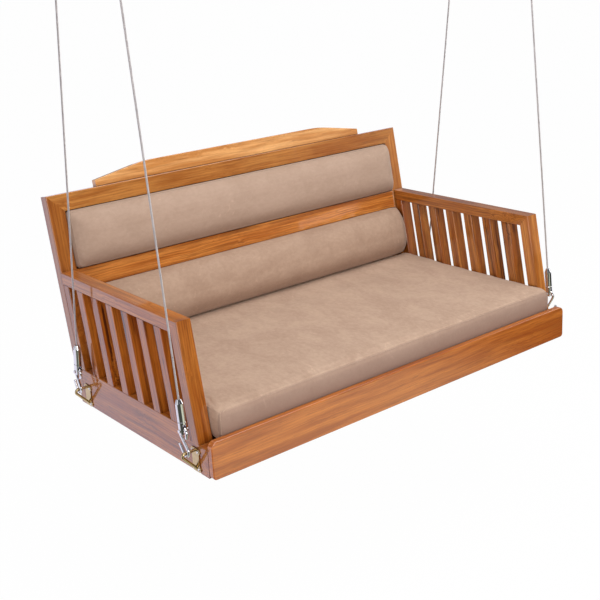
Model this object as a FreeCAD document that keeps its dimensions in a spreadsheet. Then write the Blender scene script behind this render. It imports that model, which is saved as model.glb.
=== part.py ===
import FreeCAD, Part
import math
import os
import Sketcher
from FreeCAD import Placement, Rotation, Vector

# Jhoola, a hanging bench swing. The origin is at the middle of the four ceiling studs, on the
# ceiling's face. +Z is up, +X runs along the bench to the sitter's left, and the sitter faces -Y.
# The bench is drawn square in its own frame, with its lower front edge at the origin, and then
# hung with the slight backward tilt that its weight gives it.
os.makedirs("parts", exist_ok=True)
doc = FreeCAD.newDocument("jhoola_swing")
spec = doc.addObject("Spreadsheet::Sheet", "spec")

SIZES = [
    ("bench_wide", 1524),
    # front lip board and the beam behind it
    ("lip_tall", 114),
    ("lip_thick", 22),
    ("lip_corner_radius", 21),
    ("lip_foot_radius", 12),
    ("lip_ease", 3.5),
    ("beam_tall", 87),
    ("beam_deep", 41.5),
    # side rails, arm posts and arm rails
    ("rail_tall", 121),
    ("member_wide", 48.4),
    ("post_deep", 41.3),
    ("arm_top", 435),
    ("arm_thick", 39.2),
    ("arm_rear_wide", 33.5),
    ("slat_wide", 37.6),
    ("slat_gap", 54.5),
    ("slat_thick", 45),
    ("slat_count", 6),
    ("edge_ease", 2.5),
    # raked back
    ("back_lean_deg", 10.2),
    ("back_foot", 729.6),
    ("back_thick", 38),
    ("back_tall", 678.5),
    ("frame_wide", 57.3),
    ("middle_rail_top", 434),
    ("middle_rail_tall", 67),
    ("bottom_rail_tall", 121),
    ("panel_thick", 8),
    ("panel_set_back", 22),
    # crest board
    ("crest_inset", 185),
    ("crest_shoulder_run", 192),
    ("crest_end_tall", 22.3),
    ("crest_tall", 55.6),
    ("crest_bend", 488),
    ("crest_thick", 22),
    ("crest_set_back", 8),
    ("crest_ease", 2),
    # deck and what carries it
    ("deck_thick", 12),
    ("bearer_wide", 40),
    ("bearer_tall", 45),
    ("bearer_pitch", 400),
    ("cleat_wide", 20),
    ("cleat_tall", 30),
    # upholstery
    ("soft_gap", 1.2),
    ("cushion_tall", 100),
    ("cushion_crown", 8),
    ("cushion_corner", 26),
    ("cushion_draw", 7),
    ("pad_edge_bulge", 18),
    ("pad_bulge", 52),
    ("pad_corner", 14),
    ("bolster_gap", 2.6),
    ("bolster_tall", 176),
    ("bolster_deep", 85),
    ("bolster_end_deep", 30),
    # bracket on the bench's side
    ("loop_front", 82),
    ("loop_pitch", 630),
    ("loop_high", 69),
    ("loop_foot", 10),
    ("loop_bar", 9),
    ("loop_reach", 54),
    ("loop_bend", 7.9),
    ("plate_thick", 3),
    ("plate_middle_high", 39),
    ("plate_lobe", 9),
    ("plate_waist", 17),
    ("screw_across", 13),
    ("screw_up", 27),
    ("screw_shank", 4),
    ("screw_long", 25),
    ("screw_head", 8.4),
    ("screw_head_tall", 2.4),
    ("screw_head_ease", 1.4),
    # hook and lower pin
    ("rope_out", 31),
    ("hook_wire", 9),
    ("eye_bend", 17),
    ("hook_bend", 14),
    ("hook_span", 53.6),
    ("hook_tip", 29.5),
    ("hook_flare_deg", 30),
    ("eye_end_deg", 225),
    ("bar_clear", 0.05),
    ("pin_wide", 7),
    ("pin_clear", 0.02),
    ("pin_head", 10.5),
    ("pin_head_tall", 2.5),
    # clevises
    ("clevis_wide", 24),
    ("clevis_tall", 102),
    ("clevis_cone_tall", 13),
    ("clevis_neck", 13),
    ("clevis_nose", 10),
    ("slot_wide", 10.5),
    ("slot_deep", 29),
    ("groove_up", 6),
    ("groove_wide", 2.4),
    ("groove_deep", 0.8),
    ("bore_clear", 0.03),
    # ropes and ceiling eyes
    ("rope_thick", 6),
    ("rope_rise", 1320),
    ("front_lean_share", 0.1426),
    ("hang_tilt_deg", 3),
    ("stud_pitch_deep", 332),
    ("play_across", 2),
    ("play_down", 0.85),
    ("pin_drop", 36),
    ("ring_wire", 8),
    ("ring_bend", 15.5),
    ("ring_clear", 0.05),
    ("flange_wide", 44),
    ("flange_thick", 6),
    ("eye_neck", 14),
    ("stud_wide", 12),
    ("stud_long", 50),
    ("overrun", 20),
]
for row, (word, value) in enumerate(SIZES, 1):
    spec.set("A%d" % row, word)
    spec.set("B%d" % row, str(value))
    spec.setAlias("B%d" % row, word)
doc.recompute()


def num(text):
    """the number that an expression on the sheet gives now"""
    value = spec.evalExpression(str(text))
    return float(getattr(value, "Value", value))


# Places that more than one piece follows, as expressions on the sheet
HALF = "spec.bench_wide / 2"
LEAN = "(spec.back_lean_deg * 1 deg)"
TILT = "(spec.hang_tilt_deg * 1 deg)"
BEAM_BACK = "(spec.lip_thick + spec.beam_deep)"
ARM_UNDER = "(spec.arm_top - spec.arm_thick)"
PLATE_FACE = "(" + HALF + " + spec.plate_thick)"
ROPE_X = "(" + HALF + " + spec.rope_out)"
DECK_UNDER = "(spec.beam_tall - spec.deck_thick)"


def rake(high, foot="spec.back_foot", base="0"):
    """Y of a raked plane at a height, from its foot at the base height"""
    return "(" + foot + " + (" + high + " - " + base + ") * tan(" + LEAN + "))"


def slope(high):
    """distance up the back's slope to a height on its front plane"""
    return "((" + high + ") / cos(" + LEAN + "))"


def post_front(high):
    return rake(high, BEAM_BACK, "spec.beam_tall")


# The hang: world place of the loop bars under the front hooks, then of the bench
BAR_Y = "(-spec.stud_pitch_deep / 2 - spec.front_lean_share * spec.rope_rise)"
BAR_Z = "(-spec.pin_drop - spec.rope_rise)"
REAR_Y = "(" + BAR_Y + " + spec.loop_pitch * cos(" + TILT + ") + spec.play_across)"
REAR_Z = "(" + BAR_Z + " - spec.loop_pitch * sin(" + TILT + ") - spec.play_down)"
FRONT_LEAN = "atan(spec.front_lean_share)"
REAR_LEAN = ("(-atan2(" + REAR_Y + " - spec.stud_pitch_deep / 2; -spec.pin_drop - " + REAR_Z + "))")
FRONT_LONG = "(spec.rope_rise / cos(" + FRONT_LEAN + "))"
REAR_LONG = "((-spec.pin_drop - " + REAR_Z + ") / cos(" + REAR_LEAN + "))"
BENCH_Y = ("(" + BAR_Y + " - spec.loop_front * cos(" + TILT + ") - spec.loop_high * sin(" + TILT + "))")
BENCH_Z = ("(" + BAR_Z + " + spec.loop_front * sin(" + TILT + ") - spec.loop_high * cos(" + TILT + "))")

nodes = []


def keep(thing, label):
    """name a finished piece, so that it is checked and written"""
    thing.Label = label
    nodes.append(thing)
    return thing


def hang(thing, x="0", y="0", z="0"):
    """place a bench piece: its own spot on the bench, then the bench's tilt and height"""
    thing.Placement = Placement(Vector(0, 0, 0), Rotation(Vector(-1, 0, 0), num(TILT)))
    thing.setExpression("Placement.Base.x", x)
    thing.setExpression("Placement.Base.y", "%s + (%s) * cos(%s) + (%s) * sin(%s)" % (BENCH_Y, y, TILT, z, TILT))
    thing.setExpression("Placement.Base.z", "%s - (%s) * sin(%s) + (%s) * cos(%s)" % (BENCH_Z, y, TILT, z, TILT))
    thing.setExpression("Placement.Rotation.Angle", TILT)


def plane(body, role):
    return [item for item in body.Origin.OriginFeatures if item.Role == role][0]


def on_plane(body, name, role, offset):
    """a new sketch on one of the body's own planes, moved along its normal"""
    sketch = body.newObject("Sketcher::SketchObject", name)
    sketch.AttachmentSupport = (plane(body, role), "")
    sketch.MapMode = "FlatFace"
    sketch.setExpression("AttachmentOffset.Base.z", offset)
    return sketch


def polygon(sketch, corners):
    """closed outline whose corners are expressions on the sheet"""
    spots = [Vector(num(x), num(y), 0) for x, y in corners]
    first = sketch.GeometryCount
    for index, spot in enumerate(spots):
        sketch.addGeometry(Part.LineSegment(spot, spots[(index + 1) % len(spots)]), False)
    for index in range(len(spots)):
        following = first + (index + 1) % len(spots)
        sketch.addConstraint(Sketcher.Constraint("Coincident", first + index, 2, following, 1))
    for index, (x, y) in enumerate(corners):
        item = sketch.addConstraint(Sketcher.Constraint("DistanceX", -1, 1, first + index, 1, spots[index].x))
        sketch.setExpression("Constraints[%d]" % item, x)
        item = sketch.addConstraint(Sketcher.Constraint("DistanceY", -1, 1, first + index, 1, spots[index].y))
        sketch.setExpression("Constraints[%d]" % item, y)


def lean_back(sketch, depth="0"):
    """turn a front-view sketch into the back's front plane, set back by a depth"""
    sketch.AttachmentOffset = Placement(Vector(0, 0, 0), Rotation(Vector(-1, 0, 0), num(LEAN)))
    sketch.setExpression("AttachmentOffset.Rotation.Angle", LEAN)
    sketch.setExpression("AttachmentOffset.Base.y", "-(%s) * sin(%s)" % (depth, LEAN))
    sketch.setExpression("AttachmentOffset.Base.z", "-(spec.back_foot + (%s) * cos(%s))" % (depth, LEAN))


def pad(body, sketch, thick, backward=False):
    """raise a sketch by a thickness; backward raises a front-view sketch towards +Y"""
    raised = body.newObject("PartDesign::Pad", sketch.Name + "_pad")
    raised.Profile = sketch
    raised.setExpression("Length", thick)
    raised.Reversed = backward
    doc.recompute()
    return raised


def ease(body, feature, radius, wanted=None):
    """round a feature's edges, all of them or the wanted ones"""
    edges = ["Edge%d" % (index + 1) for index, edge in enumerate(feature.Shape.Edges)
             if wanted is None or wanted(edge)]
    rounded = body.newObject("PartDesign::Fillet", feature.Name + "_ease")
    rounded.Base = (feature, edges)
    rounded.setExpression("Radius", radius)
    doc.recompute()
    return rounded


def lengthwise(feature):
    """test for the edges that run along a board"""
    longest = max(edge.Length for edge in feature.Shape.Edges)
    return lambda edge: edge.Length > longest * 0.6


def body_named(label):
    return keep(doc.addObject("PartDesign::Body", label), label)


def side_board(label, side, corners, start, thick, radius="spec.edge_ease"):
    """board drawn in side view, from a distance inside the bench's side face"""
    body = body_named(label)
    offset = "-%s + %s" % (HALF, start) if side < 0 else "%s - (%s) - (%s)" % (HALF, start, thick)
    sketch = on_plane(body, label + "_side", "YZ_Plane", offset)
    for outline in corners:
        polygon(sketch, outline)
    raised = pad(body, sketch, thick)
    if radius:
        ease(body, raised, radius, lengthwise(raised))
    hang(body)
    return body


def back_board(label, corners, depth="0", thick="spec.back_thick", radius="spec.edge_ease"):
    """board drawn on the back's slope"""
    body = body_named(label)
    sketch = on_plane(body, label + "_face", "XZ_Plane", "0")
    lean_back(sketch, depth)
    polygon(sketch, corners)
    raised = pad(body, sketch, thick, True)
    if radius:
        ease(body, raised, radius, lengthwise(raised))
    hang(body)
    return body


def level_foot(body, feature):
    """cut a leaning board level with the bench's underside"""
    before = feature.Shape.Volume
    sketch = on_plane(body, body.Label + "_level", "XY_Plane", "0")
    rim = "spec.overrun"
    polygon(sketch, [("-%s - %s" % (HALF, rim), "spec.back_foot - " + rim),
                     ("%s + %s" % (HALF, rim), "spec.back_foot - " + rim),
                     ("%s + %s" % (HALF, rim), "spec.back_foot + spec.back_thick + 2 * " + rim),
                     ("-%s - %s" % (HALF, rim), "spec.back_foot + spec.back_thick + 2 * " + rim)])
    cut = body.newObject("PartDesign::Pocket", body.Label + "_cut")
    cut.Profile = sketch
    cut.Type = "ThroughAll"
    doc.recompute()
    if not 0 < before - cut.Shape.Volume < before / 2:
        raise RuntimeError(body.Label + " is not cut level")
    return cut


# Front lip board: full width, its two upper corners well rounded and the lower ones less
lip = body_named("front_lip_board")
lip_face = on_plane(lip, "lip_face", "XZ_Plane", "0")
polygon(lip_face, [("-" + HALF, "0"), (HALF, "0"), (HALF, "spec.lip_tall"), ("-" + HALF, "spec.lip_tall")])
lip_pad = pad(lip, lip_face, "spec.lip_thick", True)
middle_high = num("spec.lip_tall / 2")
lip_round = ease(lip, lip_pad, "spec.lip_corner_radius",
                 lambda edge: abs(edge.tangentAt(edge.FirstParameter).y) > 0.9
                 and edge.CenterOfMass.z > middle_high)
lip_foot = ease(lip, lip_round, "spec.lip_foot_radius",
                lambda edge: abs(edge.tangentAt(edge.FirstParameter).y) > 0.9
                and edge.CenterOfMass.z < middle_high / 4 and len(edge.Vertexes) == 2)
ease(lip, lip_foot, "spec.lip_ease")
hang(lip)

# Front beam behind the lip: its top is level with the deck and carries the arm posts
beam = body_named("front_beam")
beam_face = on_plane(beam, "beam_face", "XZ_Plane", "-spec.lip_thick")
polygon(beam_face, [("-" + HALF, "0"), (HALF, "0"), (HALF, "spec.beam_tall"), ("-" + HALF, "spec.beam_tall")])
beam_pad = pad(beam, beam_face, "spec.beam_deep", True)
ease(beam, beam_pad, "spec.edge_ease / 2", lengthwise(beam_pad))
hang(beam)


def drill_sides(body, feature, side):
    """pilot holes for the bracket screws, from a rail's outer face inwards"""
    before = feature.Shape.Volume
    sketch = on_plane(body, body.Label + "_holes", "YZ_Plane", "%s%s" % ("-" if side < 0 else "", HALF))
    for loop in ("spec.loop_front", "spec.loop_front + spec.loop_pitch"):
        for across in (-1, 1):
            for up in (-1, 1):
                y = "%s + %d * spec.screw_across" % (loop, across)
                z = "spec.plate_middle_high + %d * spec.screw_up" % up
                hole = sketch.addGeometry(Part.Circle(Vector(num(y), num(z), 0), Vector(0, 0, 1),
                                                      num("spec.screw_shank / 2")), False)
                for kind, text in (("DistanceX", y), ("DistanceY", z)):
                    item = sketch.addConstraint(Sketcher.Constraint(kind, -1, 1, hole, 3, num(text)))
                    sketch.setExpression("Constraints[%d]" % item, text)
                item = sketch.addConstraint(Sketcher.Constraint("Radius", hole, num("spec.screw_shank / 2")))
                sketch.setExpression("Constraints[%d]" % item, "spec.screw_shank / 2")
    cut = body.newObject("PartDesign::Pocket", body.Label + "_drill")
    cut.Profile = sketch
    cut.setExpression("Length", "spec.screw_long")
    cut.Reversed = side < 0
    doc.recompute()
    if before - cut.Shape.Volume < num("spec.screw_long * spec.screw_shank ^ 2"):
        raise RuntimeError(body.Label + " is not drilled")


# Side rails, arm posts, arm rails and slats: the same on both sides
for side, name in ((-1, "left"), (1, "right")):
    rail = side_board("side_rail_" + name, side, [[
        (BEAM_BACK, "0"),
        ("spec.back_foot", "0"),
        (rake("spec.rail_tall"), "spec.rail_tall"),
        (post_front("spec.rail_tall") + " + spec.post_deep", "spec.rail_tall"),
        (post_front("spec.beam_tall") + " + spec.post_deep", "spec.beam_tall"),
        (BEAM_BACK, "spec.beam_tall")]], "0", "spec.member_wide")
    drill_sides(rail, rail.Tip, side)
    side_board("front_post_" + name, side, [[
        (post_front("spec.beam_tall"), "spec.beam_tall"),
        (post_front("spec.beam_tall") + " + spec.post_deep", "spec.beam_tall"),
        (post_front(ARM_UNDER) + " + spec.post_deep", ARM_UNDER),
        (post_front("spec.arm_top"), "spec.arm_top")]], "0", "spec.member_wide")
    side_board("arm_rail_" + name, side, [[
        (post_front("spec.arm_top"), "spec.arm_top"),
        (post_front(ARM_UNDER) + " + spec.post_deep", ARM_UNDER),
        (rake(ARM_UNDER), ARM_UNDER),
        (rake("spec.arm_top"), "spec.arm_top")]], "0", "spec.member_wide")
    side_board("arm_rear_post_" + name, side, [[
        (rake("spec.rail_tall"), "spec.rail_tall"),
        (rake(ARM_UNDER), ARM_UNDER),
        (rake(ARM_UNDER) + " - spec.arm_rear_wide", ARM_UNDER),
        (rake("spec.rail_tall") + " - spec.arm_rear_wide", "spec.rail_tall")]], "0", "spec.member_wide")
    slats = []
    for index in range(1, int(num("spec.slat_count")) + 1):
        back = " - spec.arm_rear_wide - %d * spec.slat_gap - %d * spec.slat_wide" % (index, index - 1)
        slats.append([
            (rake("spec.rail_tall") + back, "spec.rail_tall"),
            (rake(ARM_UNDER) + back, ARM_UNDER),
            (rake(ARM_UNDER) + back + " - spec.slat_wide", ARM_UNDER),
            (rake("spec.rail_tall") + back + " - spec.slat_wide", "spec.rail_tall")])
    side_board("arm_slats_" + name, side, slats, "0", "spec.slat_thick")

# Raked back: mitred stiles and top rail, middle and bottom rails, panels
TOP = slope("spec.back_tall")
INNER = "(" + HALF + " - spec.frame_wide)"
MIDDLE_TOP = slope("spec.middle_rail_top")
MIDDLE_UNDER = slope("(spec.middle_rail_top - spec.middle_rail_tall)")
BOTTOM_TOP = slope("spec.bottom_rail_tall")
FOOT = "(spec.back_thick * tan(" + LEAN + "))"
for side, name in ((-1, "left"), (1, "right")):
    stile = body_named("back_stile_" + name)
    stile_face = on_plane(stile, "stile_face_" + name, "XZ_Plane", "0")
    lean_back(stile_face)
    sign = "-" if side < 0 else ""
    polygon(stile_face, [(sign + HALF, "-spec.overrun"), (sign + HALF, TOP),
                         (sign + INNER, TOP + " - spec.frame_wide"), (sign + INNER, "-spec.overrun")])
    stile_pad = pad(stile, stile_face, "spec.back_thick", True)
    stile_ease = ease(stile, stile_pad, "spec.edge_ease", lengthwise(stile_pad))
    level_foot(stile, stile_ease)
    hang(stile)
back_board("back_top_rail", [("-" + HALF, TOP), (HALF, TOP), (INNER, TOP + " - spec.frame_wide"),
                             ("-" + INNER, TOP + " - spec.frame_wide")])
back_board("back_middle_rail", [("-" + INNER, MIDDLE_UNDER), (INNER, MIDDLE_UNDER), (INNER, MIDDLE_TOP),
                                ("-" + INNER, MIDDLE_TOP)])
back_board("back_bottom_rail", [("-" + INNER, FOOT), (INNER, FOOT), (INNER, BOTTOM_TOP),
                                ("-" + INNER, BOTTOM_TOP)])
back_board("upper_back_panel", [("-" + INNER, MIDDLE_TOP), (INNER, MIDDLE_TOP),
                                (INNER, TOP + " - spec.frame_wide"), ("-" + INNER, TOP + " - spec.frame_wide")],
           "spec.panel_set_back", "spec.panel_thick", None)
back_board("lower_back_panel", [("-" + INNER, BOTTOM_TOP), (INNER, BOTTOM_TOP), (INNER, MIDDLE_UNDER),
                                ("-" + INNER, MIDDLE_UNDER)],
           "spec.panel_set_back", "spec.panel_thick", None)

# Crest board: stands on the top rail, flat in the middle, its shoulders bent down to low ends
CREST_HALF = "(" + HALF + " - spec.crest_inset)"
SHOULDER_HALF = "(" + CREST_HALF + " - spec.crest_shoulder_run)"
crest = body_named("crest_board")
crest_face = on_plane(crest, "crest_face", "XZ_Plane", "0")
lean_back(crest_face, "spec.crest_set_back")
polygon(crest_face, [
    ("-" + CREST_HALF, TOP), (CREST_HALF, TOP),
    (CREST_HALF, TOP + " + spec.crest_end_tall"),
    (SHOULDER_HALF, TOP + " + spec.crest_tall"),
    ("-" + SHOULDER_HALF, TOP + " + spec.crest_tall"),
    ("-" + CREST_HALF, TOP + " + spec.crest_end_tall")])
crest_pad = pad(crest, crest_face, "spec.crest_thick", True)
shoulder = num(SHOULDER_HALF)
crest_bent = ease(crest, crest_pad, "spec.crest_bend",
                  lambda edge: abs(edge.tangentAt(edge.FirstParameter).x) < 0.1
                  and abs(abs(edge.CenterOfMass.x) - shoulder) < shoulder / 100)
ease(crest, crest_bent, "spec.crest_ease",
     lambda edge: abs(edge.tangentAt(edge.FirstParameter).x) > 0.5)
hang(crest)


# Deck on three bearers and two side cleats, all between the side rails
def block(label, x, y, z, long, deep, tall):
    box = keep(doc.addObject("Part::Box", label), label)
    box.setExpression("Length", long)
    box.setExpression("Width", deep)
    box.setExpression("Height", tall)
    hang(box, x, y, z)
    return box


RAIL_INNER = "(" + HALF + " - spec.member_wide)"
block("seat_deck", "-" + RAIL_INNER, BEAM_BACK, DECK_UNDER, "2 * " + RAIL_INNER,
      rake(DECK_UNDER) + " - " + BEAM_BACK, "spec.deck_thick")
BEARER_UNDER = "(" + DECK_UNDER + " - spec.bearer_tall)"
bearers = body_named("seat_bearers")
bearer_plan = on_plane(bearers, "bearer_plan", "XY_Plane", BEARER_UNDER)
for index in (-1, 0, 1):
    middle = "%d * spec.bearer_pitch" % index
    polygon(bearer_plan, [(middle + " - spec.bearer_wide / 2", BEAM_BACK),
                          (middle + " + spec.bearer_wide / 2", BEAM_BACK),
                          (middle + " + spec.bearer_wide / 2", rake(BEARER_UNDER)),
                          (middle + " - spec.bearer_wide / 2", rake(BEARER_UNDER))])
pad(bearers, bearer_plan, "spec.bearer_tall")
hang(bearers)
CLEAT_UNDER = "(" + DECK_UNDER + " - spec.cleat_tall)"
cleats = body_named("seat_cleats")
cleat_plan = on_plane(cleats, "cleat_plan", "XY_Plane", CLEAT_UNDER)
for sign in ("-", ""):
    polygon(cleat_plan, [(sign + RAIL_INNER, BEAM_BACK),
                         ("%s(%s - spec.cleat_wide)" % (sign, RAIL_INNER), BEAM_BACK),
                         ("%s(%s - spec.cleat_wide)" % (sign, RAIL_INNER), rake(CLEAT_UNDER)),
                         (sign + RAIL_INNER, rake(CLEAT_UNDER))])
pad(cleats, cleat_plan, "spec.cleat_tall")
hang(cleats)


def rounded_wire(half_x, low, high, corner, height, turn):
    """rectangle with rounded corners at a height, turned to its place by a function"""
    corner = min(corner, half_x / 2, (high - low) / 2.5)
    diagonal = corner * (1 - math.sqrt(0.5))
    edges = []
    spots = [(-1, low, 1), (1, low, 1), (1, high, -1), (-1, high, -1)]
    ring = []
    for sign, v, inward in spots:
        ring.append(((sign * half_x, v + inward * corner), (sign * (half_x - diagonal), v + inward * diagonal),
                     (sign * (half_x - corner), v)))
    order = [(ring[0][0], ring[0][1], ring[0][2]), (ring[1][2], ring[1][1], ring[1][0]),
             (ring[2][0], ring[2][1], ring[2][2]), (ring[3][2], ring[3][1], ring[3][0])]
    for index, (start, middle, end) in enumerate(order):
        edges.append(Part.Arc(turn(*start, height), turn(*middle, height), turn(*end, height)).toShape())
        following = order[(index + 1) % 4][0]
        edges.append(Part.LineSegment(turn(*end, height), turn(*following, height)).toShape())
    return Part.Wire(edges)


def soft(label, wires):
    """upholstered form from its outlines, one above the other"""
    form = keep(doc.addObject("Part::Feature", label), label)
    form.Shape = Part.makeLoft(wires, True, True)
    hang(form)
    return form


# Seat cushion: boxed, drawn in at its upper and lower seams, with a low crown
cushion_half = num(RAIL_INNER + " - spec.soft_gap")
cushion_front = num("spec.lip_thick + spec.soft_gap")
cushion_back = num(rake("spec.beam_tall") + " - spec.soft_gap")
cushion_tall = num("spec.cushion_tall")
cushion_crown = num("spec.cushion_crown")
cushion_draw = num("spec.cushion_draw")
cushion_corner = num("spec.cushion_corner")
cushion_foot = num("spec.beam_tall + spec.soft_gap / 4")
# height as a share of the boxed height, and inset as a share of what the seams draw in
cushion_shares = [(0, 1.6), (0.04, 0.75), (0.14, 0.25), (0.32, 0), (0.68, 0), (0.86, 0.25), (0.945, 0.75),
                  (0.975, 1.7)]
# height as a share of the crown, and inset as a share of the cushion's depth
crown_shares = [(0.18, 0.03), (0.62, 0.11), (0.9, 0.22), (1, 0.36)]
cushion_wires = []
for up, draw in cushion_shares:
    inset = draw * cushion_draw
    cushion_wires.append(rounded_wire(cushion_half - inset, cushion_front + inset, cushion_back - inset,
                                      cushion_corner, cushion_foot + up * cushion_tall,
                                      lambda x, v, high: Vector(x, v, high)))
for up, draw in crown_shares:
    inset = draw * (cushion_back - cushion_front)
    cushion_wires.append(rounded_wire(cushion_half - inset, cushion_front + inset, cushion_back - inset,
                                      cushion_corner, cushion_foot + cushion_tall * cushion_shares[-1][0]
                                      + up * cushion_crown,
                                      lambda x, v, high: Vector(x, v, high)))
soft("seat_cushion", cushion_wires)

# Frame of the back's slope for the pads: across, up the slope, and out of its front plane
lean = math.radians(num("spec.back_lean_deg"))
foot = num("spec.back_foot")


def on_back(x, up, out):
    return Vector(x, foot + up * math.sin(lean) - out * math.cos(lean), up * math.cos(lean) + out * math.sin(lean))


# Back pad: fills the upper opening of the frame and swells out of it
pad_gap = num("spec.soft_gap")
pad_half = num(INNER) - pad_gap
pad_low = num(MIDDLE_TOP) + pad_gap
pad_high = num(TOP + " - spec.frame_wide") - pad_gap
pad_rear = -num("spec.panel_set_back") + pad_gap / 4
pad_bulge = num("spec.pad_bulge")
pad_edge = num("spec.pad_edge_bulge")
pad_tall = pad_high - pad_low
# share of the way from the edge's bulge to the full bulge, and insets as shares of the pad's height
pad_shares = [(0, 0.035), (0.3, 0.075), (0.58, 0.14), (0.8, 0.22), (0.94, 0.31), (1, 0.4)]
pad_corner = num("spec.pad_corner")
pad_wires = []
for out, inset in ((pad_rear, pad_tall * 0.012), (pad_rear * 0.4, 0), (0, 0), (pad_edge * 0.7, pad_tall * 0.01)):
    pad_wires.append(rounded_wire(pad_half - inset, pad_low + inset, pad_high - inset, pad_corner, out, on_back))
for share, draw in pad_shares:
    inset = draw * pad_tall
    pad_wires.append(rounded_wire(pad_half - inset, pad_low + inset, pad_high - inset, pad_corner * 1.5,
                                  pad_edge + share * (pad_bulge - pad_edge), on_back))
soft("back_pad", pad_wires)

# Bolster: half-round roll that stands on the seat cushion against the back
bolster_half = num(RAIL_INNER + " - spec.bolster_gap")
bolster_tall = num("spec.bolster_tall")
bolster_deep = num("spec.bolster_deep")
bolster_low = (cushion_foot + cushion_tall * cushion_shares[-1][0] + cushion_crown + pad_gap / 4) / math.cos(lean)
bolster_rear = pad_gap / 4
# place along the half length, then depth and height as shares of their full values
end_share = num("spec.bolster_end_deep") / bolster_deep
bolster_shares = [(1, end_share * 0.75, 0.9), (0.992, end_share, 0.965), (0.972, 0.62, 0.985), (0.93, 0.84, 1),
                  (0.84, 0.97, 1), (0.6, 1, 1)]
bolster_wires = []
for sign in (-1, 1):
    row = bolster_shares if sign < 0 else list(reversed(bolster_shares))
    for along, deep_share, tall_share in row:
        deep = bolster_deep * deep_share
        tall = bolster_tall * tall_share
        low = bolster_low + (bolster_tall - tall) * 0.3
        x = sign * bolster_half * along
        # the underside lies level on the cushion, then the roll turns up and over to the back
        flat = deep * 0.34
        spots = {
            "rear_low": (low, bolster_rear),
            "front_low": (low - flat * math.tan(lean) * 0.85, flat),
            "front_low_mid": (low + tall * 0.13, deep * 0.82),
            "nose": (low + tall * 0.46, deep),
            "top_mid": (low + tall * 0.85, deep * 0.72),
            "top": (low + tall, bolster_rear + deep * 0.2),
            "rear_top": (low + tall * 0.975, bolster_rear)}
        at = {key: on_back(x, up, out) for key, (up, out) in spots.items()}
        bolster_wires.append(Part.Wire([
            Part.LineSegment(at["rear_low"], at["front_low"]).toShape(),
            Part.Arc(at["front_low"], at["front_low_mid"], at["nose"]).toShape(),
            Part.Arc(at["nose"], at["top_mid"], at["top"]).toShape(),
            Part.LineSegment(at["top"], at["rear_top"]).toShape(),
            Part.LineSegment(at["rear_top"], at["rear_low"]).toShape()]))
soft("back_bolster", bolster_wires)


def tube(wire, radius):
    """round bar along a wire"""
    start = wire.Edges[0].Vertexes[0].Point
    tangent = wire.Edges[0].tangentAt(wire.Edges[0].FirstParameter)
    ring = Part.Wire([Part.Circle(start, tangent, radius).toShape()])
    return wire.makePipeShell([ring], True, False)


# Brackets: a lobed plate with a D-shaped loop of round bar welded to it. The top of the loop runs
# straight out, turns under, and slants back to the foot of the plate.
bar = num("spec.loop_bar / 2")
loop_high = num("spec.loop_high")
loop_foot = num("spec.loop_foot")
loop_reach = num("spec.loop_reach")
loop_bend = num("spec.loop_bend")
plate_thick = num("spec.plate_thick")
plate_high = num("spec.plate_middle_high")
lobe = num("spec.plate_lobe")
waist = num("spec.plate_waist")
screw_across = num("spec.screw_across")
screw_up = num("spec.screw_up")
shank = num("spec.screw_shank / 2")
screw_long = num("spec.screw_long")
overrun = num("spec.overrun")
inner_turn = math.atan2(loop_high - loop_foot, loop_reach)
run = loop_bend / math.tan(inner_turn / 2)


def outward(side, out, high):
    return Vector(side * out, 0, high)


def bracket_shape(side):
    past = bar * 2
    bend_out = loop_reach - run
    bend_high = loop_high - loop_bend
    far = loop_bend / math.hypot(run, loop_bend)
    loop = Part.Wire([
        Part.LineSegment(outward(side, 0, loop_high), outward(side, bend_out, loop_high)).toShape(),
        Part.Arc(outward(side, bend_out, loop_high),
                 outward(side, bend_out + run * far, bend_high + loop_bend * far),
                 outward(side, loop_reach - run * math.cos(inner_turn),
                         loop_high - run * math.sin(inner_turn))).toShape(),
        Part.LineSegment(outward(side, loop_reach - run * math.cos(inner_turn),
                                 loop_high - run * math.sin(inner_turn)),
                         outward(side, -past * math.cos(inner_turn),
                                 loop_foot - past * math.sin(inner_turn))).toShape()])
    corner = Vector(0 if side > 0 else -loop_reach - overrun, -overrun, loop_foot - overrun)
    outside = Part.makeBox(loop_reach + overrun, overrun * 2, loop_high + overrun * 2, corner)
    bent = tube(loop, bar).common(outside)
    start = Vector(0 if side > 0 else -plate_thick, 0, plate_high)
    body = Part.makeBox(plate_thick, screw_across * 2, (screw_up + lobe) * 2,
                        start - Vector(0, screw_across, screw_up + lobe))
    body = body.fuse(Part.makeBox(plate_thick, waist * 2, screw_up * 2, start - Vector(0, waist, screw_up)))
    spots = [Vector(0, across * screw_across, up * screw_up) for across in (-1, 1) for up in (-1, 1)]
    for spot in spots:
        body = body.fuse(Part.makeCylinder(lobe, plate_thick, start + spot, Vector(1, 0, 0)))
    body = body.removeSplitter()
    for spot in spots:
        body = body.cut(Part.makeCylinder(shank, plate_thick, start + spot, Vector(1, 0, 0)))
    return body.fuse(bent).removeSplitter()


def screw_shape(side, spot):
    head = Part.makeCylinder(num("spec.screw_head / 2"), num("spec.screw_head_tall"),
                             Vector(0, 0, 0), Vector(1, 0, 0))
    top = [edge for edge in head.Edges if abs(edge.CenterOfMass.x) > num("spec.screw_head_tall") / 2
           and len(edge.Vertexes) == 1]
    head = head.makeFillet(num("spec.screw_head_ease"), top[:1])
    stem = Part.makeCylinder(shank, screw_long + plate_thick, Vector(0, 0, 0), Vector(-1, 0, 0))
    screw = head.fuse(stem).removeSplitter()
    if side < 0:
        screw = screw.mirror(Vector(0, 0, 0), Vector(1, 0, 0))
    screw.translate(spot)
    return screw


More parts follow.
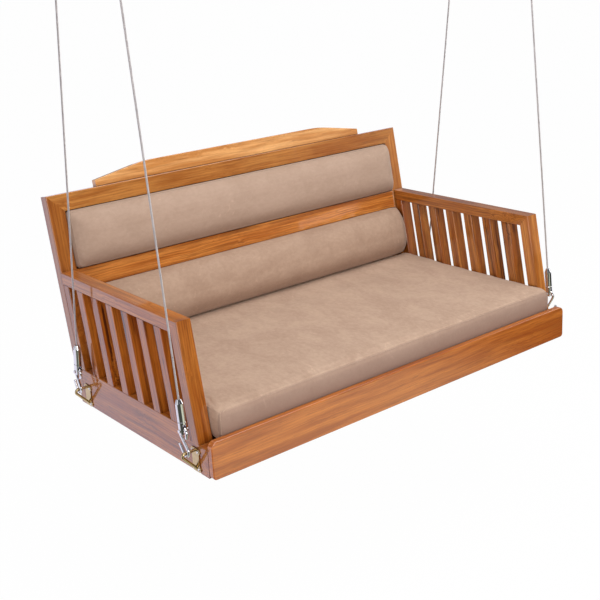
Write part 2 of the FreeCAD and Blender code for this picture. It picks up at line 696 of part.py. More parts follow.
# Hook: an S bent from round bar. Its closed eye hangs on the clevis pin, its shank crosses to the
# front, and its open bend passes under the loop and ends in a flared tip behind it.
wire = num("spec.hook_wire / 2")
eye_bend = num("spec.eye_bend")
hook_bend = num("spec.hook_bend")
hook_span = num("spec.hook_span")
eye_low = eye_bend - wire - num("spec.pin_wide / 2 + spec.pin_clear")
flare = math.radians(num("spec.hook_flare_deg"))
eye_end = math.radians(num("spec.eye_end_deg"))


def hook_shape(turn):
    """the S in its own plane, on the pin's axis; a turn of -1 faces it the other way"""
    def at(y, z):
        return Vector(0, turn * y, z)

    def round_at(middle, radius, angle):
        return at(radius * math.cos(angle), middle + radius * math.sin(angle))

    eye = -eye_low
    low = eye - hook_span
    cross = math.asin((eye_bend + hook_bend) / hook_span)
    eye_start = round_at(eye, eye_bend, -cross)
    shank_end = round_at(low, hook_bend, math.pi - cross)
    tip_start = round_at(low, hook_bend, -flare + 2 * math.pi)
    tip = tip_start + at(math.sin(flare), math.cos(flare)) * num("spec.hook_tip")
    middle = (math.pi - cross + 2 * math.pi - flare) / 2
    path = Part.Wire([
        Part.Arc(round_at(eye, eye_bend, eye_end), round_at(eye, eye_bend, (eye_end - cross) / 2),
                 eye_start).toShape(),
        Part.LineSegment(eye_start, shank_end).toShape(),
        Part.Arc(shank_end, round_at(low, hook_bend, middle), tip_start).toShape(),
        Part.LineSegment(tip_start, tip).toShape()])
    return tube(path, wire)


# Distance from the lower pin's axis down to the loop's bar, and from a pin to a clevis's neck
PIN_UP = ("(spec.eye_bend + spec.hook_span + spec.hook_bend - spec.hook_wire - spec.pin_wide / 2"
          " - spec.loop_bar / 2 - spec.pin_clear - spec.bar_clear)")
NECK_UP = "(spec.clevis_tall - spec.clevis_nose)"


def on_link(thing, side, front, down, flip=False):
    """place a piece on a rope's line, a distance down from its ceiling pin"""
    angle = FRONT_LEAN if front else REAR_LEAN
    thing.Placement = Placement(Vector(0, 0, 0), Rotation(Vector(-1, 0, 0), 1))
    thing.setExpression("Placement.Base.x", ("-" if side < 0 else "") + ROPE_X)
    thing.setExpression("Placement.Base.y", "%sspec.stud_pitch_deep / 2 - %s * sin(%s)"
                        % ("-" if front else "", down, angle))
    thing.setExpression("Placement.Base.z", "-spec.pin_drop - %s * cos(%s)" % (down, angle))
    thing.setExpression("Placement.Rotation.Angle", angle + (" + 180 deg" if flip else ""))


def spin(body, sketch, axis):
    turned = body.newObject("PartDesign::Revolution", sketch.Name + "_spin")
    turned.Profile = sketch
    turned.ReferenceAxis = (sketch, [axis])
    turned.Angle = 360
    doc.recompute()
    return turned


def cut_through(body, sketch, length):
    """pocket to both sides of its sketch"""
    before = body.Tip.Shape.Volume
    cut = body.newObject("PartDesign::Pocket", sketch.Name + "_cut")
    cut.Profile = sketch
    cut.setExpression("Length", length)
    cut.Midplane = True
    doc.recompute()
    if cut.Shape.Volume >= before:
        raise RuntimeError(body.Label + " is not cut")


def clevis(label):
    """turned sleeve with a coned shoulder and a groove, slotted at its lower end and bored for its pin"""
    body = body_named(label)
    profile = on_plane(body, label + "_profile", "XZ_Plane", "0")
    radius = "spec.clevis_wide / 2"
    nose = "spec.edge_ease / 2"
    groove = "(spec.slot_deep - spec.clevis_nose + spec.groove_up)"
    polygon(profile, [("0", "-spec.clevis_nose"), (radius + " - " + nose, "-spec.clevis_nose"),
                      (radius, "-spec.clevis_nose + " + nose), (radius, groove),
                      (radius + " - spec.groove_deep", groove + " + spec.groove_wide / 2"),
                      (radius, groove + " + spec.groove_wide"),
                      (radius, NECK_UP + " - spec.clevis_cone_tall"),
                      ("spec.clevis_neck / 2", NECK_UP), ("0", NECK_UP)])
    spin(body, profile, "V_Axis")
    slot = on_plane(body, label + "_slot", "XZ_Plane", "0")
    polygon(slot, [("-spec.slot_wide / 2", "-spec.clevis_nose - spec.overrun"),
                   ("spec.slot_wide / 2", "-spec.clevis_nose - spec.overrun"),
                   ("spec.slot_wide / 2", "spec.slot_deep - spec.clevis_nose"),
                   ("-spec.slot_wide / 2", "spec.slot_deep - spec.clevis_nose")])
    cut_through(body, slot, "spec.clevis_wide + spec.overrun")
    bore = on_plane(body, label + "_bore", "YZ_Plane", "0")
    hole = bore.addGeometry(Part.Circle(Vector(0, 0, 0), Vector(0, 0, 1), num("spec.pin_wide / 2")), False)
    bore.addConstraint(Sketcher.Constraint("Coincident", hole, 3, -1, 1))
    item = bore.addConstraint(Sketcher.Constraint("Radius", hole, num("spec.pin_wide / 2")))
    bore.setExpression("Constraints[%d]" % item, "spec.pin_wide / 2 + spec.bore_clear")
    cut_through(body, bore, "spec.clevis_wide + spec.overrun")
    return body


def pin(label):
    """plain pin across a clevis, with a flat head at each side"""
    body = body_named(label)
    profile = on_plane(body, label + "_profile", "XZ_Plane", "0")
    reach = "spec.clevis_wide / 2"
    far = "(spec.clevis_wide / 2 + spec.pin_head_tall)"
    polygon(profile, [("-" + far, "0"), ("-" + far, "spec.pin_head / 2"), ("-" + reach, "spec.pin_head / 2"),
                      ("-" + reach, "spec.pin_wide / 2"), (reach, "spec.pin_wide / 2"),
                      (reach, "spec.pin_head / 2"), (far, "spec.pin_head / 2"), (far, "0")])
    spin(body, profile, "H_Axis")
    return body


def ceiling_eye(label, side, front):
    """ring on a short neck under a flange, with the stud that goes into the ceiling"""
    ring_up = "(spec.ring_bend - spec.ring_wire / 2 - spec.pin_wide / 2 - spec.ring_clear)"
    ring = doc.addObject("Part::Torus", label + "_ring")
    ring.setExpression("Radius1", "spec.ring_bend")
    ring.setExpression("Radius2", "spec.ring_wire / 2")
    ring.Placement = Placement(Vector(0, 0, 0), Rotation(Vector(0, 1, 0), 90))
    ring.setExpression("Placement.Base.z", ring_up)
    neck = doc.addObject("Part::Cylinder", label + "_neck")
    neck.setExpression("Radius", "spec.eye_neck / 2")
    neck.setExpression("Height", "spec.pin_drop - spec.flange_thick / 2 - %s - spec.ring_bend" % ring_up)
    neck.setExpression("Placement.Base.z", "%s + spec.ring_bend" % ring_up)
    flange = doc.addObject("Part::Cylinder", label + "_flange")
    flange.setExpression("Radius", "spec.flange_wide / 2")
    flange.setExpression("Height", "spec.flange_thick")
    flange.setExpression("Placement.Base.z", "spec.pin_drop - spec.flange_thick")
    stud = doc.addObject("Part::Cylinder", label + "_stud")
    stud.setExpression("Radius", "spec.stud_wide / 2")
    stud.setExpression("Height", "spec.stud_long + spec.flange_thick / 2")
    stud.setExpression("Placement.Base.z", "spec.pin_drop - spec.flange_thick / 2")
    eye = keep(doc.addObject("Part::MultiFuse", label), label)
    eye.Shapes = [ring, neck, flange, stud]
    eye.setExpression("Placement.Base.x", ("-" if side < 0 else "") + ROPE_X)
    eye.setExpression("Placement.Base.y", ("-" if front else "") + "spec.stud_pitch_deep / 2")
    eye.setExpression("Placement.Base.z", "-spec.pin_drop")


# The four corners: bracket and screws on the bench, and the rope with its fittings above it
screws = []
for front in (True, False):
    for side in (-1, 1):
        corner = ("front_" if front else "rear_") + ("left" if side < 0 else "right")
        loop_y = "spec.loop_front" + ("" if front else " + spec.loop_pitch")
        bracket = keep(doc.addObject("Part::Feature", "bracket_" + corner), "bracket_" + corner)
        bracket.Shape = bracket_shape(side)
        hang(bracket, ("-" if side < 0 else "") + HALF, loop_y, "0")
        face = side * num(PLATE_FACE)
        for across in (-1, 1):
            for up in (-1, 1):
                screws.append(screw_shape(side, Vector(face, num(loop_y) + across * screw_across,
                                                       plate_high + up * screw_up)))
        long = FRONT_LONG if front else REAR_LONG
        pin_down = "(%s - %s)" % (long, PIN_UP)
        hook = keep(doc.addObject("Part::Feature", "hook_" + corner), "hook_" + corner)
        hook.Shape = hook_shape(-1 if front and side > 0 else 1)
        on_link(hook, side, front, pin_down)
        on_link(clevis("lower_clevis_" + corner), side, front, pin_down)
        on_link(pin("lower_pin_" + corner), side, front, pin_down)
        rope = keep(doc.addObject("Part::Cylinder", "rope_" + corner), "rope_" + corner)
        rope.setExpression("Radius", "spec.rope_thick / 2")
        rope.setExpression("Height", "%s - 2 * %s" % (pin_down, NECK_UP))
        on_link(rope, side, front, "(%s - %s)" % (pin_down, NECK_UP))
        on_link(clevis("upper_clevis_" + corner), side, front, "0", True)
        on_link(pin("upper_pin_" + corner), side, front, "0")
        ceiling_eye("ceiling_eye_" + corner, side, front)
all_screws = keep(doc.addObject("Part::Feature", "bracket_screws"), "bracket_screws")
all_screws.Shape = Part.makeCompound(screws)
hang(all_screws)

doc.recompute()
for thing in doc.Objects:
    if any(word in thing.State for word in ("Invalid", "Error")):
        raise RuntimeError("%s failed: %s" % (thing.Name, thing.State))
for thing in nodes:
    if thing.Shape.isNull() or not thing.Shape.isValid() or not thing.Shape.Solids:
        raise RuntimeError(thing.Label + " has no valid solid")
for thing in nodes:
    thing.Shape.exportStep("parts/%s.step" % thing.Label)

for corner in ("front_left", "front_right", "rear_left", "rear_right"):
    rope = doc.getObject("rope_" + corner)
    section = math.pi * num("spec.rope_thick / 2") ** 2
    print("rope %s: one straight taut run of %.1f, volume ratio %.5f"
          % (corner, rope.Height.Value, rope.Shape.Volume / (section * rope.Height.Value)))
print("%d pieces written" % len(nodes))
print("front loop bar Y %.3f Z %.3f, link %.3f, lean %.4f" % (num(BAR_Y), num(BAR_Z), num(FRONT_LONG), num(FRONT_LEAN)))
print("rear hook seat Y %.3f Z %.3f, link %.3f, lean %.4f" % (num(REAR_Y), num(REAR_Z), num(REAR_LONG), num(REAR_LEAN)))
print("bench corner Y %.3f Z %.3f" % (num(BENCH_Y), num(BENCH_Z)))
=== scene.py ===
import bmesh
import bpy
import math
from itertools import product
from mathutils import Matrix, Vector, noise
from mathutils.bvhtree import BVHTree


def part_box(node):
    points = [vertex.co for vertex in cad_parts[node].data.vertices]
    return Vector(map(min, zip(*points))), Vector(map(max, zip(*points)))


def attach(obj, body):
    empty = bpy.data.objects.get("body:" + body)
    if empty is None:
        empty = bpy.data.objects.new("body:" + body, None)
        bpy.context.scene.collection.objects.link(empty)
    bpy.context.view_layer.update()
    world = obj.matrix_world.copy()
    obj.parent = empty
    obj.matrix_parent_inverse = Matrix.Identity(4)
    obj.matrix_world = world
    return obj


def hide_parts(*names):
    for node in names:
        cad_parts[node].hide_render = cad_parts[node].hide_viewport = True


# Jhoola: a lacquered teak bench with an upholstered seat and back that hangs from four steel wire
# ropes. The origin is at the middle of the ceiling studs, the sitter faces -Y, and metres are used.
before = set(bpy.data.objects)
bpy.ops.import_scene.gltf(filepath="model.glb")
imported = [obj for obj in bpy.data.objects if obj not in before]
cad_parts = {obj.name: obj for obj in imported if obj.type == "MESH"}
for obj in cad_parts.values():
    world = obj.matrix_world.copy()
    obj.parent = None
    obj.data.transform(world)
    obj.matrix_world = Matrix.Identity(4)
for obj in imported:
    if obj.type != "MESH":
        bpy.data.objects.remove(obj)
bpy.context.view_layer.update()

# Room: the bench hangs over a pale paper floor in even light from above and from the front. The
# paper is bright behind the bench and to its left, and the room in front of it is darker.
scene = bpy.context.scene
scene.view_settings.view_transform = "Standard"


def add(tree, kind, inputs=None, **settings):
    """add a shader node; its inputs take plain values or the outputs of other nodes"""
    made = tree.nodes.new("ShaderNode" + kind)
    for word, value in settings.items():
        setattr(made, word, value)
    for key, value in (inputs or {}).items():
        if isinstance(value, bpy.types.NodeSocket):
            tree.links.new(value, made.inputs[key])
        else:
            made.inputs[key].default_value = value
    return made


def placed(name, data):
    """a new object in the scene"""
    thing = bpy.data.objects.new(name, data)
    scene.collection.objects.link(thing)
    return thing


def bare_material(name):
    """a new material and its tree, without nodes"""
    made = bpy.data.materials.new(name)
    made.use_nodes = True
    made.node_tree.nodes.clear()
    return made, made.node_tree


def seen_or_mirrored(tree):
    """1 for what the camera, a gloss or a glass sees directly, and the node that knows the kinds of ray"""
    rays = add(tree, "LightPath")
    gloss = add(tree, "Math", {0: rays.outputs["Is Camera Ray"], 1: rays.outputs["Is Glossy Ray"]},
                operation="MAXIMUM")
    return add(tree, "Math", {0: gloss.outputs[0], 1: rays.outputs["Is Transmission Ray"]},
               operation="MAXIMUM").outputs[0], rays


world = bpy.data.worlds.new("studio")
scene.world = world
world.use_nodes = True
air = world.node_tree
air.nodes.clear()
direct, rays = seen_or_mirrored(air)
ambient = add(air, "Background", {"Color": (0.93, 0.95, 1.0, 1), "Strength": 0.42})
way = add(air, "SeparateXYZ", {0: add(air, "TexCoord").outputs["Generated"]}).outputs
# the room as lacquer mirrors it: an axis, where the wall on it starts and is full, and how bright it is
walls = [("X", -0.72, -0.95, 0.85), ("X", 0.5, 0.66, 0.12), ("Z", 0.5, 0.8, 0.42), ("Y", -0.1, 0.5, 0.1)]
wall_glow = 0.04
for axis, start, end, strength in walls:
    part = add(air, "MapRange", {"Value": way[axis], "From Min": start, "From Max": end, "To Max": strength},
               interpolation_type="SMOOTHSTEP")
    wall_glow = add(air, "Math", {0: part.outputs[0], 1: wall_glow}, operation="ADD").outputs[0]
mirrored = add(air, "Background", {"Color": (0.9, 0.92, 1.0, 1), "Strength": wall_glow})
white = add(air, "Background", {"Color": (1, 1, 1, 1), "Strength": 1.0})
kind_of_ray = add(air, "MixShader", {0: direct, 1: ambient.outputs[0], 2: mirrored.outputs[0]})
kind_of_ray = add(air, "MixShader", {0: rays.outputs["Is Camera Ray"], 1: kind_of_ray.outputs[0],
                                     2: white.outputs[0]})
add(air, "OutputWorld", {"Surface": kind_of_ray.outputs[0]})

paper_half, paper_height = 30, -1.98
front_ends, back_starts = -0.7, 0.1
floor_mesh = bpy.data.meshes.new("paper_floor")
floor_shape = bmesh.new()
bmesh.ops.create_grid(floor_shape, x_segments=1, y_segments=1, size=paper_half)
bmesh.ops.translate(floor_shape, vec=(0, 0, paper_height), verts=floor_shape.verts)
floor_shape.to_mesh(floor_mesh)
floor_shape.free()
floor = placed("paper_floor", floor_mesh)
paper, sheet = bare_material("paper")
direct, rays = seen_or_mirrored(sheet)
matt = add(sheet, "BsdfDiffuse", {"Color": (0.86, 0.86, 0.87, 1)})
place = add(sheet, "SeparateXYZ", {0: add(sheet, "TexCoord").outputs["Object"]})
to_right = add(sheet, "MapRange", {"Value": place.outputs["X"], "From Min": 0.9, "From Max": 2.0,
                                   "To Min": 0.75, "To Max": 0.02}, interpolation_type="SMOOTHSTEP")
to_left = add(sheet, "MapRange", {"Value": place.outputs["X"], "From Min": -0.4, "From Max": -1.3,
                                  "To Min": 1.0, "To Max": 0.08}, interpolation_type="SMOOTHSTEP")
in_front = add(sheet, "Math", {0: to_right.outputs[0], 1: to_left.outputs[0]}, operation="MULTIPLY")
behind = add(sheet, "MapRange", {"Value": place.outputs["Y"], "From Min": front_ends,
                                 "From Max": back_starts, "To Min": in_front.outputs[0], "To Max": 1.0},
             interpolation_type="SMOOTHSTEP")
far_back = add(sheet, "MapRange", {"Value": place.outputs["Y"], "From Min": front_ends,
                                   "From Max": back_starts}, interpolation_type="SMOOTHSTEP")
tint = add(sheet, "Mix", {0: far_back.outputs[0], 6: (0.95, 1.0, 0.78, 1), 7: (0.86, 0.84, 1.0, 1)},
           data_type="RGBA")
sheen_glow = add(sheet, "Emission", {"Color": tint.outputs[2], "Strength": behind.outputs[0]})
camera_glow = add(sheet, "Emission", {"Color": (1, 1, 1, 1), "Strength": 1.0})
glow = add(sheet, "MixShader", {0: rays.outputs["Is Camera Ray"], 1: sheen_glow.outputs[0],
                                2: camera_glow.outputs[0]})
share = add(sheet, "Math", {0: direct, 1: 0.985}, operation="MULTIPLY")
surface = add(sheet, "MixShader", {0: share.outputs[0], 1: matt.outputs[0], 2: glow.outputs[0]})
add(sheet, "OutputMaterial", {"Surface": surface.outputs[0]})
floor_mesh.materials.append(paper)


def soft_lamp(name, place, aim, size, watts, colour):
    """a large flat lamp that faces a point"""
    lamp = bpy.data.lights.new(name, "AREA")
    lamp.shape = "RECTANGLE"
    lamp.size, lamp.size_y = size
    lamp.energy = watts
    lamp.color = colour
    hung = placed(name, lamp)
    hung.location = place
    hung.rotation_euler = (Vector(aim) - Vector(place)).to_track_quat("-Z", "Y").to_euler()
    return hung


middle = (0, 0, -1.15)
soft_lamp("lamp_above", (0.3, -0.5, 1.5), middle, (3.2, 2.4), 62, (1.0, 0.97, 0.93))
soft_lamp("lamp_front", (-1.2, -3.9, -0.1), middle, (2.6, 1.8), 62, (1.0, 0.98, 0.96))
soft_lamp("lamp_right", (3.6, -1.4, 0.2), middle, (1.8, 1.8), 26, (1.0, 0.98, 0.96))
# a warm wall to the left, too dim to be seen in the lacquer
lamp_left = soft_lamp("lamp_left", (-3.4, -1.2, -0.5), middle, (1.8, 1.8), 17, (1.0, 0.88, 0.82))
lamp_left.visible_glossy = False

# Camera: it stands to the left of the bench's front and a little above its back. Its place and its
# lens were solved from the straight edges of the bench.
lens = bpy.data.cameras.new("camera")
lens.sensor_width = 36
lens.lens = 62.858
lens.shift_x, lens.shift_y = -0.00432, -0.0516
camera = placed("camera", lens)
camera.matrix_world = Matrix(((0.774864, 0.225032, -0.590717, -2.14342),
                              (-0.631777, 0.244537, -0.735568, -2.56814),
                              (-0.021074, 0.943166, 0.331653, 0.08095), (0, 0, 0, 1)))
scene.camera = camera

# Wire ropes: 6 mm galvanised rope, six strands laid to the right round a core. Each is held taut
# between the neck of its lower clevis and that of its upper one.
rope_thick = 0.006
strands_round = 6
lay_long, steps_a_lay = 0.038, 10
rope_out = 0.793
rope_ends = {"front": ((-0.33171, -1.19807), (-0.17899, -0.12708)),
             "rear": ((0.26388, -1.23083), (0.17351, -0.12769))}
near_end = 0.036


def finish_of(name, metal, rough, bare=1.0, dull=0.82):
    """bright metal, a little uneven; bare is how little it has weathered, and dull how dark its spots are"""
    made, tree = bare_material(name)
    spot = add(tree, "TexCoord").outputs["Object"]
    cloud = add(tree, "TexNoise", {"Vector": spot, "Scale": 60, "Detail": 4, "Roughness": 0.6})
    tone = add(tree, "Mix", {0: cloud.outputs[0], 6: (*[c * dull for c in metal], 1), 7: (*metal, 1)},
               data_type="RGBA")
    uneven = add(tree, "MapRange", {"Value": cloud.outputs[0], "To Min": rough * 0.7, "To Max": rough * 1.4})
    fine = add(tree, "TexNoise", {"Vector": spot, "Scale": 900, "Detail": 2})
    relief = add(tree, "Bump", {"Height": fine.outputs[0], "Strength": 0.08, "Distance": 0.0004})
    shader = add(tree, "BsdfPrincipled", {"Base Color": tone.outputs[2], "Metallic": bare,
                                          "Roughness": uneven.outputs[0], "Normal": relief.outputs[0]})
    add(tree, "OutputMaterial", {"Surface": shader.outputs[0]})
    return made


wire_steel = finish_of("galvanised_wire", (0.78, 0.73, 0.73), rough=0.3, bare=0.7, dull=0.6)


def lay_rope(corner, side, low, high):
    """the strands of one rope, round a spline between its two ends"""
    start, end = Vector((side * rope_out, *low)), Vector((side * rope_out, *high))
    along = (end - start).normalized()
    route = bpy.data.curves.new("route_" + corner, "CURVE")
    route.dimensions = "3D"
    line = route.splines.new("NURBS")
    line.points.add(3)
    for point, spot in zip(line.points, (start, start + along * near_end, end - along * near_end, end)):
        point.co = (*spot, 1)
    line.order_u = 3
    line.use_endpoint_u = True
    bare = bpy.data.objects.new("route_" + corner, route)
    path_mesh = bpy.data.meshes.new_from_object(bare)
    path = [v.co.copy() for v in path_mesh.vertices]
    bpy.data.objects.remove(bare)
    bpy.data.meshes.remove(path_mesh)
    strands = bpy.data.curves.new("strands_" + corner, "CURVE")
    strands.dimensions = "3D"
    strands.bevel_depth = rope_thick / 6
    strands.bevel_resolution = 1
    strands.use_fill_caps = True
    across = along.cross(Vector((1, 0, 0))).normalized()
    other = along.cross(across)
    long = sum((b - a).length for a, b in zip(path, path[1:]))
    steps = int(long / lay_long * steps_a_lay)
    for strand in range(strands_round + 1):
        twist = strands.splines.new("POLY")
        spots = steps if strand < strands_round else 1
        twist.points.add(spots)
        walked, leg = 0.0, 0
        for step in range(spots + 1):
            target = long * step / spots
            while leg < len(path) - 2 and walked + (path[leg + 1] - path[leg]).length < target:
                walked += (path[leg + 1] - path[leg]).length
                leg += 1
            run = path[leg + 1] - path[leg]
            centre = path[leg] + run.normalized() * (target - walked)
            turn = 2 * math.pi * (target / lay_long + strand / strands_round)
            out = rope_thick / 3 if strand < strands_round else 0
            twist.points[step].co = (*(centre + (across * math.cos(turn) + other * math.sin(turn)) * out), 1)
    tube = bpy.data.objects.new("tube_" + corner, strands)
    mesh = bpy.data.meshes.new_from_object(tube)
    bpy.data.objects.remove(tube)
    for face in mesh.polygons:
        face.use_smooth = True
    mesh.materials.clear()
    mesh.materials.append(wire_steel)
    rope = placed("wire_rope_" + corner, mesh)
    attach(rope, "rope_line_" + corner)
    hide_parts("rope_" + corner)


for row, (low, high) in rope_ends.items():
    for hand, side in (("left", -1), ("right", 1)):
        lay_rope(row + "_" + hand, side, low, high)

# Boards: lacquered teak, planed square with eased edges and joined face to face, mitred where the
# stiles meet the top rail and the posts meet the arms. The grain runs the length of each board,
# cut from near a log's heart, and the lacquer over it is clear and glossy.
boards_x = ("front_lip_board", "front_beam", "back_top_rail", "back_middle_rail", "back_bottom_rail",
            "crest_board", "upper_back_panel", "lower_back_panel", "seat_deck")
boards_back = ("side_rail_left", "side_rail_right", "arm_rail_left", "arm_rail_right", "seat_bearers",
               "seat_cleats")
boards_up = ("front_post_left", "front_post_right", "arm_rear_post_left", "arm_rear_post_right",
             "arm_slats_left", "arm_slats_right", "back_stile_left", "back_stile_right")
hang_tilt = math.radians(3)
back_lean = math.radians(10.2)
bench_place = (0, -0.439731, -1.420614)
bench = Matrix.Translation(bench_place) @ Matrix.Rotation(-hang_tilt, 4, "X")


def group_of(name, inputs, outputs):
    """a shader group with its sockets; gives its tree, its inputs and its outputs"""
    tree = bpy.data.node_groups.new(name, "ShaderNodeTree")
    for word, kind in inputs.items():
        tree.interface.new_socket(name=word, in_out="INPUT", socket_type="NodeSocket" + kind)
    for word, kind in outputs.items():
        tree.interface.new_socket(name=word, in_out="OUTPUT", socket_type="NodeSocket" + kind)
    return tree, tree.nodes.new("NodeGroupInput").outputs, tree.nodes.new("NodeGroupOutput").inputs


def scaled(tree, vector, scale):
    """a vector times a scale along each axis"""
    return add(tree, "VectorMath", {0: vector, 1: scale}, operation="MULTIPLY").outputs[0]


def ranged(tree, value, low, high, to_low=0.0, to_high=1.0):
    """a value that goes softly from one level to another between two limits"""
    return add(tree, "MapRange", {"Value": value, "From Min": low, "From Max": high, "To Min": to_low,
                                  "To Max": to_high}, interpolation_type="SMOOTHSTEP").outputs[0]


def mixed(tree, share, one, two):
    """a share of one colour turned into another"""
    return add(tree, "Mix", {0: share, 6: one, 7: two}, data_type="RGBA").outputs[2]


def times(tree, one, two):
    """one value times another"""
    return add(tree, "Math", {0: one, 1: two}, operation="MULTIPLY").outputs[0]


figure, given, made = group_of("teak_figure", {"Grain": "Vector", "Pale": "Color", "Deep": "Color",
                                               "Dark": "Color", "Knots": "Float", "Streaks": "Float"},
                               {"Color": "Color", "Roughness": "Float", "Height": "Float"})
half = (0.5, 0.5, 0.5)
# the grain wanders a little to the side, and curls where the wood is burled
wander = add(figure, "TexNoise", {"Vector": scaled(figure, given["Grain"], (0.5, 1, 1)), "Scale": 6.0,
                                  "Detail": 3.0})
wander = add(figure, "VectorMath", {0: wander.outputs["Color"], 1: half}, operation="SUBTRACT")
wander = scaled(figure, wander.outputs[0], (0, 0.018, 0.018))
bent = add(figure, "VectorMath", {0: given["Grain"], 1: wander}, operation="ADD").outputs[0]
burl = add(figure, "TexNoise", {"Vector": scaled(figure, given["Grain"], (1, 2.2, 2.2)), "Scale": 2.6,
                                "Detail": 2.0})
burl = times(figure, ranged(figure, burl.outputs["Fac"], 0.58, 0.7), given["Knots"])
curl = add(figure, "TexNoise", {"Vector": given["Grain"], "Scale": 24.0, "Detail": 3.0, "Distortion": 1.2})
curl = add(figure, "VectorMath", {0: curl.outputs["Color"], 1: half}, operation="SUBTRACT")
swirl = add(figure, "VectorMath", {0: scaled(figure, curl.outputs[0], (0.03, 0.06, 0.06)), 1: burl},
            operation="MULTIPLY")
bent = add(figure, "VectorMath", {0: bent, 1: swirl.outputs[0]}, operation="ADD").outputs[0]
# the year's rings, each dark in its late wood
rings = add(figure, "TexWave", {"Vector": scaled(figure, bent, (0.15, 1, 1)), "Scale": 38.0,
                                "Distortion": 2.2, "Detail": 2.0, "Detail Scale": 1.2},
            wave_type="RINGS", rings_direction="X", wave_profile="SAW")
late = add(figure, "ValToRGB", {"Fac": rings.outputs["Fac"]})
for spot, grey in ((0.5, 0.08), (0.86, 1.0)):
    stop = late.color_ramp.elements.new(spot)
    stop.color = (grey, grey, grey, 1)
late.color_ramp.elements[-1].color = (0.2, 0.2, 0.2, 1)
# pale and deep wood along the board, with dark streaks in parts of it
cloud = add(figure, "TexNoise", {"Vector": scaled(figure, bent, (0.7, 14, 14)), "Scale": 3.2, "Detail": 6.0,
                                 "Roughness": 0.62})
paleness = ranged(figure, cloud.outputs["Fac"], 0.36, 0.64)
vein = add(figure, "TexNoise", {"Vector": scaled(figure, bent, (1.2, 40, 40)), "Scale": 2.0, "Detail": 4.0,
                                "Roughness": 0.55})
patch = add(figure, "TexNoise", {"Vector": scaled(figure, given["Grain"], (1.0, 3, 3)), "Scale": 3.5,
                                 "Detail": 1.0})
streak = times(figure, ranged(figure, vein.outputs["Fac"], 0.52, 0.66),
               ranged(figure, patch.outputs["Fac"], 0.42, 0.6))
streak = times(figure, streak, given["Streaks"])
# long fine lines, short flecks and the pores
hair = add(figure, "TexNoise", {"Vector": scaled(figure, bent, (3, 150, 150)), "Scale": 2.0, "Detail": 3.0,
                                "Roughness": 0.6})
fleck = add(figure, "TexNoise", {"Vector": scaled(figure, bent, (14, 190, 190)), "Scale": 1.0,
                                 "Detail": 2.0})
fleck = ranged(figure, fleck.outputs["Fac"], 0.63, 0.76)
pore = add(figure, "TexNoise", {"Vector": scaled(figure, given["Grain"], (45, 1300, 1300)), "Scale": 1.0,
                                "Detail": 2.0})
pore = ranged(figure, pore.outputs["Fac"], 0.56, 0.72)
freckle = times(figure, ranged(figure, curl.outputs[0], 0.04, 0.2), burl)
rings_dark = times(figure, late.outputs["Color"], ranged(figure, given["Streaks"], 0, 1, 0.14, 0.4))
hairs_dark = times(figure, ranged(figure, hair.outputs["Fac"], 0.48, 0.68),
                   ranged(figure, given["Streaks"], 0, 1, 0.16, 0.5))
body = mixed(figure, paleness, given["Deep"], given["Pale"])
for darkened in (rings_dark, times(figure, streak, 0.9), hairs_dark, times(figure, freckle, 0.85),
                 times(figure, fleck, 0.4), times(figure, pore, 0.3)):
    body = mixed(figure, darkened, body, given["Dark"])
figure.links.new(body, made["Color"])
figure.links.new(ranged(figure, pore, 0, 1, 0.3, 0.5), made["Roughness"])
figure.links.new(times(figure, pore, -1.0), made["Height"])


teak_colours = {"Pale": (0.62, 0.235, 0.045), "Deep": (0.40, 0.115, 0.015), "Dark": (0.10, 0.024, 0.005)}
heart_near = 0.035


def teak(board, along, turn, shade, streaks, knots, straw, gloss=1.0):
    """lacquered teak for one board; turn picks its part of the log, shade is how light it is, straw how
    yellow, and gloss how much lacquer its faces to the front, back and top have"""
    made, tree = bare_material("teak_" + board)
    low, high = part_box(board)
    to_grain = Vector(along).rotation_difference(Vector((1, 0, 0))).to_matrix()
    heart_way = turn * 2.4
    heart = Vector((turn * 2.37, heart_near * math.cos(heart_way), heart_near * math.sin(heart_way)))
    grain = add(tree, "Mapping", {"Vector": add(tree, "TexCoord").outputs["Object"],
                                  "Rotation": to_grain.to_euler(),
                                  "Location": heart - to_grain @ ((low + high) / 2)})
    look = add(tree, "Group", node_tree=figure)
    for word, colour in teak_colours.items():
        red, green, blue = [c * shade for c in colour]
        look.inputs[word].default_value = (red, green * straw, blue * straw ** 3, 1)
    look.inputs["Knots"].default_value = knots
    look.inputs["Streaks"].default_value = streaks
    tree.links.new(grain.outputs[0], look.inputs["Grain"])
    relief = add(tree, "Bump", {"Height": look.outputs["Height"], "Strength": 0.12, "Distance": 0.0005})
    # painted shade: the wood is darkened in its corners, joints and gaps, where shade falls, and the lacquer
    # is dulled there
    open_air = add(tree, "AmbientOcclusion", {"Distance": 0.012}, samples=4).outputs["AO"]
    unshaded = ranged(tree, open_air, 0.35, 0.85)
    corner_shade = (*[c * 0.3 for c in teak_colours["Dark"]], 1)
    colour = mixed(tree, unshaded, mixed(tree, 0.8, look.outputs["Color"], corner_shade), look.outputs["Color"])
    facing = add(tree, "SeparateXYZ", {0: add(tree, "NewGeometry").outputs["Normal"]})
    to_side = add(tree, "Math", {0: facing.outputs["X"]}, operation="ABSOLUTE").outputs[0]
    lacquer = times(tree, ranged(tree, to_side, 0.4, 0.8, gloss, 1.0), ranged(tree, unshaded, 0, 1, 0.2, 1.0))
    shader = add(tree, "BsdfPrincipled", {"Base Color": colour, "Roughness": look.outputs["Roughness"],
                                          "Normal": relief.outputs[0], "Specular IOR Level": 0.12,
                                          "Coat Weight": lacquer, "Coat Roughness": 0.05, "Coat IOR": 1.9})
    add(tree, "OutputMaterial", {"Surface": shader.outputs[0]})
    return made


lean = back_lean + hang_tilt
ways = [(boards_x, (1, 0, 0)), (boards_back, (0, math.cos(hang_tilt), -math.sin(hang_tilt))),
        (boards_up, (0, math.sin(lean), math.cos(lean)))]
